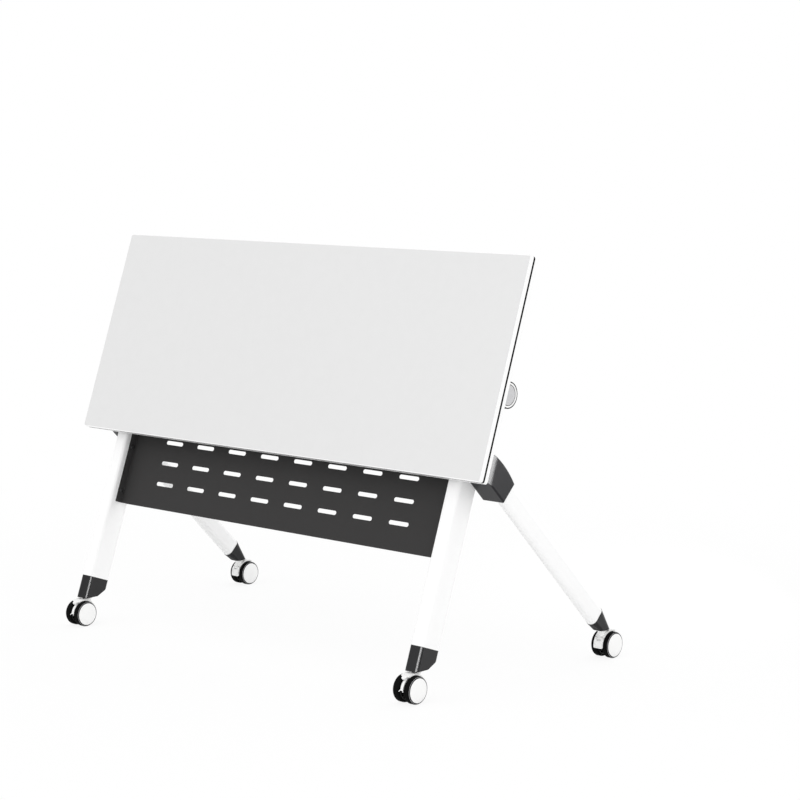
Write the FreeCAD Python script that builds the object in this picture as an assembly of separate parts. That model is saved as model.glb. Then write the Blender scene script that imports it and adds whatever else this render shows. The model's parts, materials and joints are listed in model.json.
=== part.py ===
"""Flip-top training table on casters, stored folded: millimetres, +Z up, +X along the top, +Y to the user.

The origin is on the floor, in the middle of the table's outer box.
"""
import FreeCAD
import Part
import math
import os

Vector = FreeCAD.Vector

# Driving dimensions of the table
TOP_LENGTH = 1400.0
TOP_DEPTH = 540.0
TOP_THICKNESS = 28.0
TOP_CORNER_RADIUS = 6.0
WORKING_HEIGHT = 760.0
FOLD_LEAN = 19.6
PIVOT_TO_SURFACE = 62.0
FRONT_SHARE = 218.6
FRONT_LEG_X = 588.0
REAR_LEG_X = 654.0
HUB_Y = 330.0
PIVOT_Y = -86.74

# Edge of the top
BAND_THICKNESS = 2.0
STRIPE_HEIGHT = 6.0
STRIPE_DEPTH = 0.8

# Tubes: width across X, depth in the side view, corner radius
FRONT_TUBE = (40.0, 66.0, 10.0)
REAR_TUBE = (30.0, 52.0, 14.5)
TUBE_WALL = 2.0
LEG_SETBACK = 12.0
LEG_TOP = -70.0
LEG_BOTTOM = -608.6
REAR_LEAN = 45.0
REAR_AXIS_SUM = 388.6
REAR_LEG_SPAN = (45.0, 544.0)

# Cross beam, its end caps and the leg heads that hold it
BEAM_RADIUS = 25.0
BEAM_WALL = 2.5
BEAM_HALF = 656.0
CAP_RADIUS = 32.0
CAP_THICKNESS = 20.0
CAP_ROUNDING = 2.5
CAP_PLUG = 16.0
CAP_GROOVE = (24.0, 26.0)
CAP_GROOVE_DEPTH = 1.2
HEAD_RADIUS = 32.0
HEAD_SPIGOT = 40.0
HEAD_BACK_RISE = 14.0
HEAD_NECK = (29.0, -10.0)
HEAD_FRONT_UP = -18.0
HEAD_SCREW_HEAD = (5.0, 2.6)
HEAD_SCREW_SHANK = (2.5, 14.0)
HEAD_SCREW_DROPS = (12.0, 28.0)

# Hinge: a saddle and a cap round the beam, with a plain bush between
RUNNING_GAP = 0.1
BUSH_RADIUS = 27.0
SADDLE_X = (504.0, 560.0)
SADDLE_PLATE = 5.0
SADDLE_HALF_LENGTH = 74.0
SADDLE_CORNER = 8.0
SADDLE_RADIUS = 33.0
SADDLE_SCREW_UP = 62.0
SADDLE_SCREW_INSET = 12.0
FLANGE_HALF = 46.0
FLANGE_THICKNESS = 7.0
SPLIT_GAP = 0.4
CAP_BOLT_UP = 39.0
CAP_BOLT_INSET = 14.0
CAP_BOLT_HEAD = (5.5, 4.0)
CAP_BOLT_SHANK = (3.0, 25.0)

# Wood screws: head and shank as (radius, length), the shank's length counted inside the board
SCREW_HEAD = (6.0, 3.0)
SCREW_SHANK = (2.5, 16.0)

# Index collar with one notch, met by the lever's nose when the top is level
COLLAR_X = (470.0, 494.0)
COLLAR_RADIUS = 31.0
COLLAR_NOTCH = (10.0, 5.0)
NOSE_ANGLE = 6.0

# Lever bracket
BRACKET_SHEET = 3.0
BRACKET_X = (462.0, 502.0)
BRACKET_LENGTH = (26.0, 76.0)
CHEEK_LENGTH = (34.0, 54.0)
CHEEK_TOP = -10.0
BRACKET_SCREW_UP = 66.0
BRACKET_SCREW_INSET = 9.0
PIN_OVERHANG = 2.0

# Release lever, in the folded top's own plane: depth behind the pivot, distance up the top
LEVER_PIN = (-19.0, 44.0)
LEVER_PIN_RADIUS = 3.0
LEVER_X = (468.0, 496.0)
LEVER_HUB = 7.0
LEVER_GAP = 0.3
NOSE_ROOT_LOW = (-5.0, -4.0)
NOSE_ROOT_HIGH = (4.0, 6.0)
NOSE_TIP = (0.0, 6.5)
NOSE_BACK = (7.0, 6.0)
ARM_ROOT_FRONT = (-5.0, 2.0)
ARM_ROOT_BACK = (6.0, 0.0)
ARM_TIP_HALF = 3.0
HANDLE_END = (-2.0, 168.0)
HANDLE_WIDTH = 46.0
PADDLE = ((-12.0, -62.0), (-7.0, -62.0), (4.0, 0.0), (0.0, 5.0), (-4.0, 0.0))

# Leaf spring: height off the underside and distance up the top
SPRING_STRIP = ((0.0, 82.0), (1.0, 82.0), (1.0, 98.0), (20.4, 140.0), (19.4, 140.5), (0.0, 98.6))
SPRING_SHEET = 1.0
SPRING_HALF = 8.0
SPRING_SCREW_UP = 89.0
SPRING_SCREW_LENGTH = 14.0

# Modesty panel
PANEL_DEPTH = 18.0
PANEL_SHEET = 1.5
PANEL_BOTTOM = -399.6
PANEL_HEIGHT = 300.0
PANEL_FLANGE = 22.0
PANEL_HEM = 11.0
PANEL_HEM_INSET = 12.0
PANEL_BOLT_INSET = 30.0
PANEL_BOLT_DEPTH = 9.0
PANEL_BOLT_HEAD = (5.5, 3.3)
PANEL_BOLT_SHANK = (3.0, 11.5)
SLOT_LENGTH = 64.0
SLOT_WIDTH = 10.5
SLOT_PITCH = 119.0
SLOT_ROW_PITCH = 56.0
SLOT_COLUMNS = 8
SLOT_ROWS = 4
CUT_MARGIN = 2.0

# Shoulder between a front leg and a rear leg
SHOULDER_HALF = 28.0
SHOULDER_OUTER_X = 672.0
SHOULDER_FRONT_DEPTH = -14.0
SHOULDER_CORNER = 7.0
SHOULDER_RIM = 4.0
SHOULDER_CROWN = 8.0
SHOULDER_ROUNDING = 40.0
SHOULDER_SPIGOT = (40.0, 4.0)
SHOULDER_BOLT_UP = (-196.6, -164.6)
SHOULDER_BOLT_BACK = 15.5
SHOULDER_BOLT_HEAD = (7.0, 4.0)
SHOULDER_BOLT_SHANK = (4.0, 70.0)

# Foot sockets
SOCKET_BOTTOM = 74.0
SOCKET_LIP = 0.6
SOCKET_SPIGOT = 36.0
SOCKET_BLEND = 4.0
FRONT_SOCKET_BLANK = 90.0
FRONT_HEEL_DROP = 20.0
FRONT_HEEL_ROUNDING = 8.0
SOCKET_TOE = 18.0
REAR_SOLE = (33.0, 40.0, 12.0)
REAR_SOLE_SHIFT = -2.0

# Casters
WHEEL_RADIUS = 33.0
CASTER_HALF_WIDTH = 26.5
CASTER_TRAIL = 22.0
WHEEL_INNER_X = 7.0
TREAD_OUTER_X = 26.0
TREAD_ROUNDING = (5.0, 5.0)
CORE_RADIUS = 27.0
CORE_RECESS = 0.6
CAP_SEAT_X = 22.0
HUB_CAP_RADIUS = 29.0
HUB_CAP_ROUNDING = 1.2
AXLE_RADIUS = 4.0
AXLE_HALF = 20.0

# Caster housing: half widths, radii off the axle, and angles over the wheels from the stem's side
WEB_HALF = 6.0
WEB_RADIUS = 33.4
WEB_SPAN = (5.0, 125.0)
COWL_HALF = 13.0
COWL_RADII = (34.0, 38.0)
COWL_SPAN = (36.0, 131.0)
COWL_BITE = 9.0
TONGUE_SPAN = (24.5, 128.0)
TONGUE_LOW = 30.0
FIN_HALF = 4.0
FIN_RADIUS = 29.0
FIN_SPAN = (110.0, 178.0)
PRONG_RADIUS = 1.0
PRONG_ROOT = (2.0, 27.5, 168.0)
PRONG_TIP = (6.2, 31.8, 182.0)
WHEEL_ROOM = 34.0
NECK_LOW = 58.0
NECK_RADIUS = 9.5
HOUSING_TOP = 72.0
FLANGE_LOW = 68.8
FLANGE_RADIUS = 12.0
FLANGE_ROUNDING = 1.2

# Caster stem
STEM_RADIUS = 4.0
STEM_LOW = 46.0
STEM_GAP = 0.05
STEM_END_GAP = 2.0
STEM_COLLAR = 8.0
STEM_COLLAR_GAP = 0.4
STUD_RADIUS = 5.0
STUD_LENGTH = 22.0

# Brake pedal, on the same radii and angles
PEDAL_HALF = 13.0
PEDAL_RADII = (34.2, 38.2)
PEDAL_SPAN = (-8.0, 34.0)
PEDAL_CORNER = 2.5
PEDAL_NOTCH_HALF = 6.5
PEDAL_NOTCH_START = 22.0
PEDAL_RECESS_HALF = 10.0
PEDAL_RECESS_RADIUS = 37.4
PEDAL_RECESS_SPAN = (-4.0, 18.0)
TRUNNION = (36.2, 30.0)
TRUNNION_HALF = 10.0
TRUNNION_RADIUS = 1.2

# Rubber stops
BUMPER_RADIUS = 9.0
BUMPER_UP = -200.6
BUMPER_GAP = 0.3

# Values that follow from the ones above
PIVOT_Z = WORKING_HEIGHT - PIVOT_TO_SURFACE
UNDERSIDE = TOP_THICKNESS - PIVOT_TO_SURFACE
FLIP_ANGLE = 90.0 - FOLD_LEAN
STEM_Y = HUB_Y - CASTER_TRAIL
LEG_INNER_X = FRONT_LEG_X - FRONT_TUBE[0] / 2
LEG_OUTER_X = FRONT_LEG_X + FRONT_TUBE[0] / 2
LEG_FRONT = LEG_SETBACK - FRONT_TUBE[1] / 2
LEG_BACK = LEG_SETBACK + FRONT_TUBE[1] / 2
LEVER_MIDDLE = (LEVER_X[0] + LEVER_X[1]) / 2
LEAN = math.radians(FOLD_LEAN)
ROOT_TWO = math.sqrt(2.0)
SIDES = (("left", -1), ("right", 1))
X_AXIS = Vector(1, 0, 0)
Y_AXIS = Vector(0, 1, 0)
Z_AXIS = Vector(0, 0, 1)
ORIGIN = Vector(0, 0, 0)
ALONG = (1, 0, 0)
FORWARD = (0, -1, 0)
UPWARD = (0, 0, 1)
ALIGNED = 0.99
NEAR = 0.01
FAR = 120.0
CASTERS = (
    ("front_left", -FRONT_LEG_X, -1),
    ("front_right", FRONT_LEG_X, -1),
    ("rear_left", -REAR_LEG_X, 1),
    ("rear_right", REAR_LEG_X, 1),
)


# Small makers
def box(x, y, z):
    """A box from three (low, high) pairs."""
    low = Vector(min(x), min(y), min(z))
    return Part.makeBox(abs(x[1] - x[0]), abs(y[1] - y[0]), abs(z[1] - z[0]), low)


def rod(start, radius, length, direction):
    """A round bar."""
    return Part.makeCylinder(radius, length, Vector(*start), Vector(*direction))


def ring(start, inner, outer, length, direction):
    """A round sleeve."""
    bore = rod(start, inner, length, direction)
    return rod(start, outer, length, direction).cut(bore)


def side_plate(points, x):
    """A polygon in the side view, given as (y, z) pairs, drawn out between two X values."""
    corners = [Vector(min(x), y, z) for y, z in points]
    face = Part.Face(Part.makePolygon(corners + corners[:1]))
    return face.extrude(Vector(abs(x[1] - x[0]), 0, 0))


def edges_along(shape, axis):
    """The straight edges of a shape that run along an axis."""
    return [edge for edge in shape.Edges if abs(edge.tangentAt(edge.FirstParameter).dot(axis)) > ALIGNED]


def rounded_bar(section, low, high):
    """A bar of rounded rectangular section standing on Z."""
    width, depth, radius = section
    bar = box((-width / 2, width / 2), (-depth / 2, depth / 2), (low, high))
    return bar.makeFillet(radius, edges_along(bar, Z_AXIS))


def hollow_of(section):
    """The inside of a tube's section."""
    width, depth, radius = section
    return width - 2 * TUBE_WALL, depth - 2 * TUBE_WALL, radius - TUBE_WALL


def tube(section, low, high):
    """A hollow rounded rectangular tube standing on Z."""
    return rounded_bar(section, low, high).cut(rounded_bar(hollow_of(section), low, high))


def fused(shapes):
    """One clean solid from several."""
    whole = shapes[0].fuse(shapes[1:])
    return whole.removeSplitter()


def moved(shape, x, y, z):
    """A copy of a shape at another place."""
    copy = shape.copy()
    copy.translate(Vector(x, y, z))
    return copy


def mirrored(shape):
    """The other hand of a shape."""
    return shape.mirror(ORIGIN, X_AXIS)


def both(shapes):
    """The shapes of the right side, each followed by its left hand."""
    return [hand for shape in shapes for hand in (shape, mirrored(shape))]


def for_side(shape, sign):
    """A shape drawn for the right side, or its left hand."""
    if sign > 0:
        return shape
    return mirrored(shape)


def folded(shape):
    """Places a shape drawn about the pivot, with Y as depth and Z up the folded top."""
    copy = shape.copy()
    copy.rotate(ORIGIN, X_AXIS, -FOLD_LEAN)
    copy.translate(Vector(0, PIVOT_Y, PIVOT_Z))
    return copy


def rear_placed(shape):
    """Places a shape drawn about the rear leg's axis, with Z up the leg from its stem."""
    copy = shape.copy()
    copy.rotate(ORIGIN, X_AXIS, REAR_LEAN)
    copy.translate(Vector(REAR_LEG_X, STEM_Y, REAR_AXIS_SUM - STEM_Y))
    return copy


def rear_axis_point(along):
    """A point (y, z) on the rear leg's axis, counted up the leg from its stem."""
    y = STEM_Y - along * math.sin(math.radians(REAR_LEAN))
    return y, REAR_AXIS_SUM - y


def screw(start, direction, head, shank):
    """A button-head screw: head and shank are (radius, length), the shank runs on along the direction."""
    back = Vector(*direction) * -head[1]
    top = rod(Vector(*start) + back, head[0], head[1], direction)
    crown = max(top.Edges, key=lambda edge: (edge.CenterOfMass - Vector(*start)).dot(back))
    top = top.makeFillet(head[1] / 2, [crown])
    return fused([top, rod(start, shank[0], shank[1], direction)])


def save(name, shapes):
    """Writes one node, as one solid or as a group of solids."""
    shape = shapes
    if isinstance(shapes, list):
        shape = Part.makeCompound(shapes)
    shape.exportStep("parts/" + name + ".step")


# Tabletop: board, edge band and the dark line round the edge
def slab(inset, depth):
    """The top's outline, drawn in from its edge, between two depths."""
    half = TOP_LENGTH / 2 - inset
    low = inset - FRONT_SHARE
    high = TOP_DEPTH - FRONT_SHARE - inset
    block = box((-half, half), depth, (low, high))
    return block.makeFillet(TOP_CORNER_RADIUS - inset, edges_along(block, Y_AXIS))


def tabletop():
    """Board, band and stripe in the folded plane."""
    surface = -PIVOT_TO_SURFACE
    board = slab(BAND_THICKNESS, (surface, UNDERSIDE))
    band = slab(0, (surface, UNDERSIDE)).cut(board)
    middle = (surface + UNDERSIDE) / 2
    groove = (middle - STRIPE_HEIGHT / 2, middle + STRIPE_HEIGHT / 2)
    stripe = slab(0, groove).cut(slab(STRIPE_DEPTH, groove))
    return board, band.cut(stripe), stripe


# Hinge pieces
def saddle_places(inset, distance):
    """Four fastener places on a saddle, as (x, distance up the top)."""
    return [(x, side * distance) for x in (SADDLE_X[0] + inset, SADDLE_X[1] - inset) for side in (-1, 1)]


def saddle_rod(radius):
    """A round bar on the pivot axis, as long as a saddle."""
    return rod((SADDLE_X[0], 0, 0), radius, SADDLE_X[1] - SADDLE_X[0], ALONG)


def saddle():
    """The half that is screwed to the underside."""
    back = UNDERSIDE + SADDLE_PLATE
    plate = box(SADDLE_X, (UNDERSIDE, back), (-SADDLE_HALF_LENGTH, SADDLE_HALF_LENGTH))
    plate = plate.makeFillet(SADDLE_CORNER, edges_along(plate, Y_AXIS))
    block = box(SADDLE_X, (back, -SPLIT_GAP), (-FLANGE_HALF, FLANGE_HALF))
    return fused([plate, block]).cut(saddle_rod(BUSH_RADIUS))


def saddle_cap():
    """The half that is bolted on from behind."""
    behind = box(SADDLE_X, (SPLIT_GAP, SADDLE_RADIUS), (-SADDLE_RADIUS, SADDLE_RADIUS))
    flange = box(SADDLE_X, (SPLIT_GAP, FLANGE_THICKNESS), (-FLANGE_HALF, FLANGE_HALF))
    body = fused([saddle_rod(SADDLE_RADIUS).common(behind), flange])
    return body.cut(saddle_rod(BUSH_RADIUS))


def bush():
    """The plain sleeve between beam and saddle."""
    return saddle_rod(BUSH_RADIUS).cut(saddle_rod(BEAM_RADIUS + RUNNING_GAP))


def board_screw(x, up, sheet):
    """A wood screw through a sheet that lies on the underside."""
    shank = (SCREW_SHANK[0], SCREW_SHANK[1] + sheet)
    return screw((x, UNDERSIDE + sheet, up), FORWARD, SCREW_HEAD, shank)


def saddle_screws():
    """Wood screws through the saddle's plate."""
    places = saddle_places(SADDLE_SCREW_INSET, SADDLE_SCREW_UP)
    return [board_screw(x, up, SADDLE_PLATE) for x, up in places]


def cap_bolts():
    """Machine bolts through the cap into the saddle."""
    places = saddle_places(CAP_BOLT_INSET, CAP_BOLT_UP)
    return [screw((x, FLANGE_THICKNESS, up), FORWARD, CAP_BOLT_HEAD, CAP_BOLT_SHANK) for x, up in places]


# Release gear: index collar on the beam; bracket, lever, pin and leaf spring on the top
def index_collar():
    """The fixed ring whose notch takes the lever's nose when the top is level."""
    length = COLLAR_X[1] - COLLAR_X[0]
    body = ring((COLLAR_X[0], 0, 0), BEAM_RADIUS, COLLAR_RADIUS, length, ALONG)
    width, depth = COLLAR_NOTCH
    notch = box(COLLAR_X, (-width / 2, width / 2), (COLLAR_RADIUS - depth, COLLAR_RADIUS + depth))
    notch.rotate(ORIGIN, X_AXIS, -(FLIP_ANGLE + NOSE_ANGLE))
    return body.cut(notch)


def lever_bracket():
    """A bent channel whose cheeks carry the lever's pin."""
    base = box(BRACKET_X, (UNDERSIDE, UNDERSIDE + BRACKET_SHEET), BRACKET_LENGTH)
    near_x = (BRACKET_X[0], BRACKET_X[0] + BRACKET_SHEET)
    far_x = (BRACKET_X[1] - BRACKET_SHEET, BRACKET_X[1])
    cheeks = [box(x, (UNDERSIDE, CHEEK_TOP), CHEEK_LENGTH) for x in (near_x, far_x)]
    return fused([base] + cheeks).cut(lever_pin())


def pin_rod(radius):
    """A round bar on the lever's pin axis, a little wider than the bracket."""
    start = (BRACKET_X[0] - PIN_OVERHANG, LEVER_PIN[0], LEVER_PIN[1])
    return rod(start, radius, BRACKET_X[1] - BRACKET_X[0] + 2 * PIN_OVERHANG, ALONG)


def lever_pin():
    """The pin on which the lever rocks."""
    return pin_rod(LEVER_PIN_RADIUS)


def off_pin(offset):
    """A point in the side view, counted from the lever's pin."""
    return LEVER_PIN[0] + offset[0], LEVER_PIN[1] + offset[1]


def lever():
    """A bell crank: its nose rides on the collar, its paddle is squeezed towards the top."""
    depth, up = LEVER_PIN
    hub = rod((LEVER_X[0], depth, up), LEVER_HUB, LEVER_X[1] - LEVER_X[0], ALONG)
    ride = COLLAR_RADIUS + LEVER_GAP
    tip = [(NOSE_TIP[0], ride), (NOSE_TIP[1], ride), (NOSE_BACK[0], ride + NOSE_BACK[1])]
    nose = [off_pin(NOSE_ROOT_LOW)] + tip + [off_pin(NOSE_ROOT_HIGH)]
    end_depth, end_up = HANDLE_END
    arm = [off_pin(ARM_ROOT_FRONT), off_pin(ARM_ROOT_BACK)]
    arm += [(end_depth + ARM_TIP_HALF, end_up), (end_depth - ARM_TIP_HALF, end_up)]
    paddle = [(end_depth + off_depth, end_up + off_up) for off_depth, off_up in PADDLE]
    paddle_x = (LEVER_MIDDLE - HANDLE_WIDTH / 2, LEVER_MIDDLE + HANDLE_WIDTH / 2)
    body = fused([hub, side_plate(nose, LEVER_X), side_plate(arm, LEVER_X), side_plate(paddle, paddle_x)])
    return body.cut(pin_rod(LEVER_PIN_RADIUS + RUNNING_GAP))


def leaf_spring():
    """A bent strip, screwed to the underside, that pushes the paddle off the top."""
    strip = [(UNDERSIDE + height, up) for height, up in SPRING_STRIP]
    return side_plate(strip, (LEVER_MIDDLE - SPRING_HALF, LEVER_MIDDLE + SPRING_HALF))


def release_screws():
    """Wood screws of the lever bracket and of the leaf spring."""
    across = (BRACKET_X[0] + BRACKET_SCREW_INSET, BRACKET_X[1] - BRACKET_SCREW_INSET)
    screws = [board_screw(x, BRACKET_SCREW_UP, BRACKET_SHEET) for x in across]
    start = (LEVER_MIDDLE, UNDERSIDE + SPRING_SHEET, SPRING_SCREW_UP)
    screws.append(screw(start, FORWARD, SCREW_HEAD, (SCREW_SHANK[0], SPRING_SCREW_LENGTH)))
    return screws


# Cross beam, end caps and leg heads
def cross_beam():
    """The round tube on the pivot axis."""
    return ring((-BEAM_HALF, 0, 0), BEAM_RADIUS - BEAM_WALL, BEAM_RADIUS, 2 * BEAM_HALF, ALONG)


def beam_end_cap():
    """A turned cap with a ring groove, plugged into the beam's end."""
    disc = rod((BEAM_HALF, 0, 0), CAP_RADIUS, CAP_THICKNESS, ALONG)
    rims = [edge for edge in disc.Edges if edge.Closed and edge.Length > CAP_RADIUS]
    disc = disc.makeFillet(CAP_ROUNDING, rims)
    plug = rod((BEAM_HALF - CAP_PLUG, 0, 0), BEAM_RADIUS - BEAM_WALL, CAP_PLUG, ALONG)
    bottom = BEAM_HALF + CAP_THICKNESS - CAP_GROOVE_DEPTH
    groove = ring((bottom, 0, 0), CAP_GROOVE[0], CAP_GROOVE[1], 2 * CAP_GROOVE_DEPTH, ALONG)
    return fused([disc, plug]).cut(groove)


def on_front_leg(shape):
    """Moves a shape drawn about the leg's own axis to the right front leg."""
    return moved(shape, FRONT_LEG_X, LEG_SETBACK, 0)


def leg_head():
    """The casting that closes a front leg and holds the beam."""
    width = LEG_OUTER_X - LEG_INNER_X
    barrel = rod((LEG_INNER_X, 0, 0), HEAD_RADIUS, width, ALONG)
    neck = [(LEG_FRONT, LEG_TOP), (LEG_BACK, LEG_TOP), (LEG_BACK, LEG_TOP + HEAD_BACK_RISE), HEAD_NECK]
    neck.append((LEG_FRONT, HEAD_FRONT_UP))
    section = on_front_leg(rounded_bar(FRONT_TUBE, LEG_TOP, 0.0))
    collar = side_plate(neck, (LEG_INNER_X, LEG_OUTER_X)).common(section)
    spigot = on_front_leg(rounded_bar(hollow_of(FRONT_TUBE), LEG_TOP - HEAD_SPIGOT, LEG_TOP))
    body = fused([barrel, collar, spigot])
    return body.cut(rod((LEG_INNER_X, 0, 0), BEAM_RADIUS, width, ALONG))


def head_screws():
    """Screws through a leg's back wall into its head."""
    places = [(FRONT_LEG_X, LEG_BACK, LEG_TOP - drop) for drop in HEAD_SCREW_DROPS]
    return [screw(place, FORWARD, HEAD_SCREW_HEAD, HEAD_SCREW_SHANK) for place in places]


# Legs, shoulders and foot sockets
def front_leg():
    """A front leg's tube."""
    return on_front_leg(tube(FRONT_TUBE, LEG_BOTTOM, LEG_TOP))


def rear_leg():
    """A rear leg's tube."""
    return rear_placed(tube(REAR_TUBE, *REAR_LEG_SPAN))


def rear_cut(along, half):
    """Two corners on a line square to the rear leg, lower one first."""
    y, z = rear_axis_point(along)
    offset = half / ROOT_TWO
    return (y - offset, z - offset), (y + offset, z + offset)


def shoulder_front(total):
    """Where a 45 degree line, with this sum of Y and Z, meets the plane of a shoulder's front."""
    slope = math.tan(LEAN)
    front_y = PIVOT_Y + SHOULDER_FRONT_DEPTH / math.cos(LEAN) - PIVOT_Z * slope
    z = (total - front_y) / (1.0 + slope)
    return total - z, z


def shoulder_outline():
    """Side view of a shoulder: a band along the rear leg, cut along the front leg at its upper end."""
    across = SHOULDER_HALF * ROOT_TWO
    low, high = rear_cut(REAR_LEG_SPAN[1], SHOULDER_HALF)
    return [shoulder_front(REAR_AXIS_SUM - across), low, high, shoulder_front(REAR_AXIS_SUM + across)]


def shoulder_blank():
    """The outline drawn out along X, with its upper side crowned."""
    front_low, low, high, front_high = [Vector(LEG_OUTER_X, y, z) for y, z in shoulder_outline()]
    rise = SHOULDER_CROWN / ROOT_TWO
    crest = (high + front_high) * 0.5 + Vector(0, rise, rise)
    crown = Part.Arc(high, crest, front_high).toShape()
    straight = Part.makePolygon([front_high, front_low, low, high])
    face = Part.Face(Part.Wire(straight.Edges + [crown]))
    return face.extrude(Vector(SHOULDER_OUTER_X - LEG_OUTER_X, 0, 0))


def shoulder_room():
    """The folded-plane block that a shoulder lies in, with its outer front edge well rounded."""
    reach = 3 * FAR
    block = box((LEG_OUTER_X, SHOULDER_OUTER_X), (SHOULDER_FRONT_DEPTH, reach), (-reach, 0))
    edge = min(edges_along(block, Z_AXIS), key=lambda edge: edge.CenterOfMass.y - edge.CenterOfMass.x)
    return folded(block.makeFillet(SHOULDER_ROUNDING, [edge]))


def shoulder():
    """The cast block that ties a rear leg to the outside of a front leg."""
    body = shoulder_blank()
    across = sorted(edges_along(body, X_AXIS), key=lambda edge: edge.BoundBox.YMin)
    body = body.makeFillet(SHOULDER_CORNER, across[:2])
    rim = [edge for edge in body.Edges if edge.BoundBox.XMin > SHOULDER_OUTER_X - NEAR]
    body = body.makeFillet(SHOULDER_RIM, rim).common(shoulder_room())
    low = REAR_LEG_SPAN[1] - SHOULDER_SPIGOT[0]
    high = REAR_LEG_SPAN[1] + SHOULDER_SPIGOT[1]
    return fused([body, rear_placed(rounded_bar(hollow_of(REAR_TUBE), low, high))])


def shoulder_bolts():
    """Bolts from the inside of a front leg, through it, into the shoulder."""
    places = [(LEG_INNER_X, LEG_SETBACK + SHOULDER_BOLT_BACK, up) for up in SHOULDER_BOLT_UP]
    return [screw(place, ALONG, SHOULDER_BOLT_HEAD, SHOULDER_BOLT_SHANK) for place in places]


def front_socket():
    """The boot on a front leg's foot, cut away behind and flat below."""
    blank = rounded_bar(FRONT_TUBE, LEG_BOTTOM - FRONT_SOCKET_BLANK, LEG_BOTTOM)
    spigot = rounded_bar(hollow_of(FRONT_TUBE), LEG_BOTTOM, LEG_BOTTOM + SOCKET_SPIGOT)
    up = LEG_BOTTOM - FRONT_HEEL_DROP
    heel_y = PIVOT_Y + up * math.sin(LEAN) + LEG_BACK * math.cos(LEAN)
    heel_z = PIVOT_Z + up * math.cos(LEAN) - LEG_BACK * math.sin(LEAN)
    keep = [
        (-STEM_Y - FAR, SOCKET_BOTTOM),
        (-STEM_Y + SOCKET_TOE, SOCKET_BOTTOM),
        (heel_y, heel_z),
        (heel_y + FAR, heel_z + FAR),
        (heel_y, heel_z + 2 * FAR),
        (-STEM_Y - FAR, heel_z + 2 * FAR),
    ]
    cutter = side_plate(keep, (LEG_INNER_X, LEG_OUTER_X))
    heel = min(edges_along(cutter, X_AXIS), key=lambda edge: abs(edge.CenterOfMass.z - heel_z))
    boot = folded(on_front_leg(blank)).common(cutter.makeFillet(FRONT_HEEL_ROUNDING, [heel]))
    return fused([boot, folded(on_front_leg(spigot))])


def section_wire(section):
    """The outline of a rounded rectangular section, on the floor plane."""
    bar = rounded_bar(section, 0.0, 1.0)
    return min(bar.Faces, key=lambda face: face.CenterOfMass.z).OuterWire


def rear_socket():
    """The boot on a rear leg's foot, drawn from the tube's outline to a level sole."""
    width, depth, radius = REAR_TUBE
    seam = section_wire((width + 2 * SOCKET_LIP, depth + 2 * SOCKET_LIP, radius + SOCKET_LIP))
    seam = rear_placed(moved(seam, 0, 0, REAR_LEG_SPAN[0]))
    sole = moved(section_wire(REAR_SOLE), REAR_LEG_X, STEM_Y + REAR_SOLE_SHIFT, SOCKET_BOTTOM)
    boot = Part.makeLoft([sole, seam], True, True)
    reach = (REAR_LEG_SPAN[0] - SOCKET_BLEND, REAR_LEG_SPAN[0] + SOCKET_SPIGOT)
    return fused([boot, rear_placed(rounded_bar(hollow_of(REAR_TUBE), *reach))])


# Modesty panel between the front legs
def panel():
    """A folded sheet with rows of round-ended slots, hems above and below and a flange at each end."""
    top = PANEL_BOTTOM + PANEL_HEIGHT
    back = PANEL_DEPTH + PANEL_SHEET
    hem = (PANEL_DEPTH, PANEL_DEPTH + PANEL_HEM)
    hem_half = LEG_INNER_X - PANEL_HEM_INSET
    body = [box((-LEG_INNER_X, LEG_INNER_X), (PANEL_DEPTH, back), (PANEL_BOTTOM, top))]
    body.append(box((-hem_half, hem_half), hem, (top - PANEL_SHEET, top)))
    body.append(box((-hem_half, hem_half), hem, (PANEL_BOTTOM, PANEL_BOTTOM + PANEL_SHEET)))
    for sign in (-1, 1):
        ends = (sign * (LEG_INNER_X - PANEL_SHEET), sign * LEG_INNER_X)
        body.append(box(ends, (back - PANEL_FLANGE, back), (PANEL_BOTTOM, top)))
    middle = PANEL_BOTTOM + PANEL_HEIGHT / 2
    slots = []
    for column in range(SLOT_COLUMNS):
        x = (column - (SLOT_COLUMNS - 1) / 2) * SLOT_PITCH
        for row in range(SLOT_ROWS):
            up = middle + (row - (SLOT_ROWS - 1) / 2) * SLOT_ROW_PITCH
            slots.append(slot(x, up))
    return fused(body).cut(slots)


def slot(x, up):
    """One round-ended slot cutter through the panel."""
    radius = SLOT_WIDTH / 2
    straight = SLOT_LENGTH / 2 - radius
    start = PANEL_DEPTH - CUT_MARGIN
    end = PANEL_DEPTH + PANEL_SHEET + CUT_MARGIN
    bar = box((x - straight, x + straight), (start, end), (up - radius, up + radius))
    ends = [rod((x + side * straight, end, up), radius, end - start, FORWARD) for side in (-1, 1)]
    return fused([bar] + ends)


def panel_bolts():
    """Bolts that hold the panel's end flange to a front leg."""
    top = PANEL_BOTTOM + PANEL_HEIGHT
    rows = (PANEL_BOTTOM + PANEL_BOLT_INSET, (PANEL_BOTTOM + top) / 2, top - PANEL_BOLT_INSET)
    places = [(LEG_INNER_X - PANEL_SHEET, PANEL_DEPTH - PANEL_BOLT_DEPTH, up) for up in rows]
    return [screw(place, ALONG, PANEL_BOLT_HEAD, PANEL_BOLT_SHANK) for place in places]


def bumper():
    """A rubber stop on a front leg's front face, where the folded top comes to rest."""
    length = LEG_FRONT - UNDERSIDE - BUMPER_GAP
    return rod((FRONT_LEG_X, LEG_FRONT, BUMPER_UP), BUMPER_RADIUS, length, FORWARD)


# Casters, drawn with the stem on the Z axis and the wheels trailing to +Y
def wheel_axis_rod(radius, low, high):
    """A round bar on the axle line."""
    return rod((low, CASTER_TRAIL, WHEEL_RADIUS), radius, high - low, ALONG)


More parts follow.
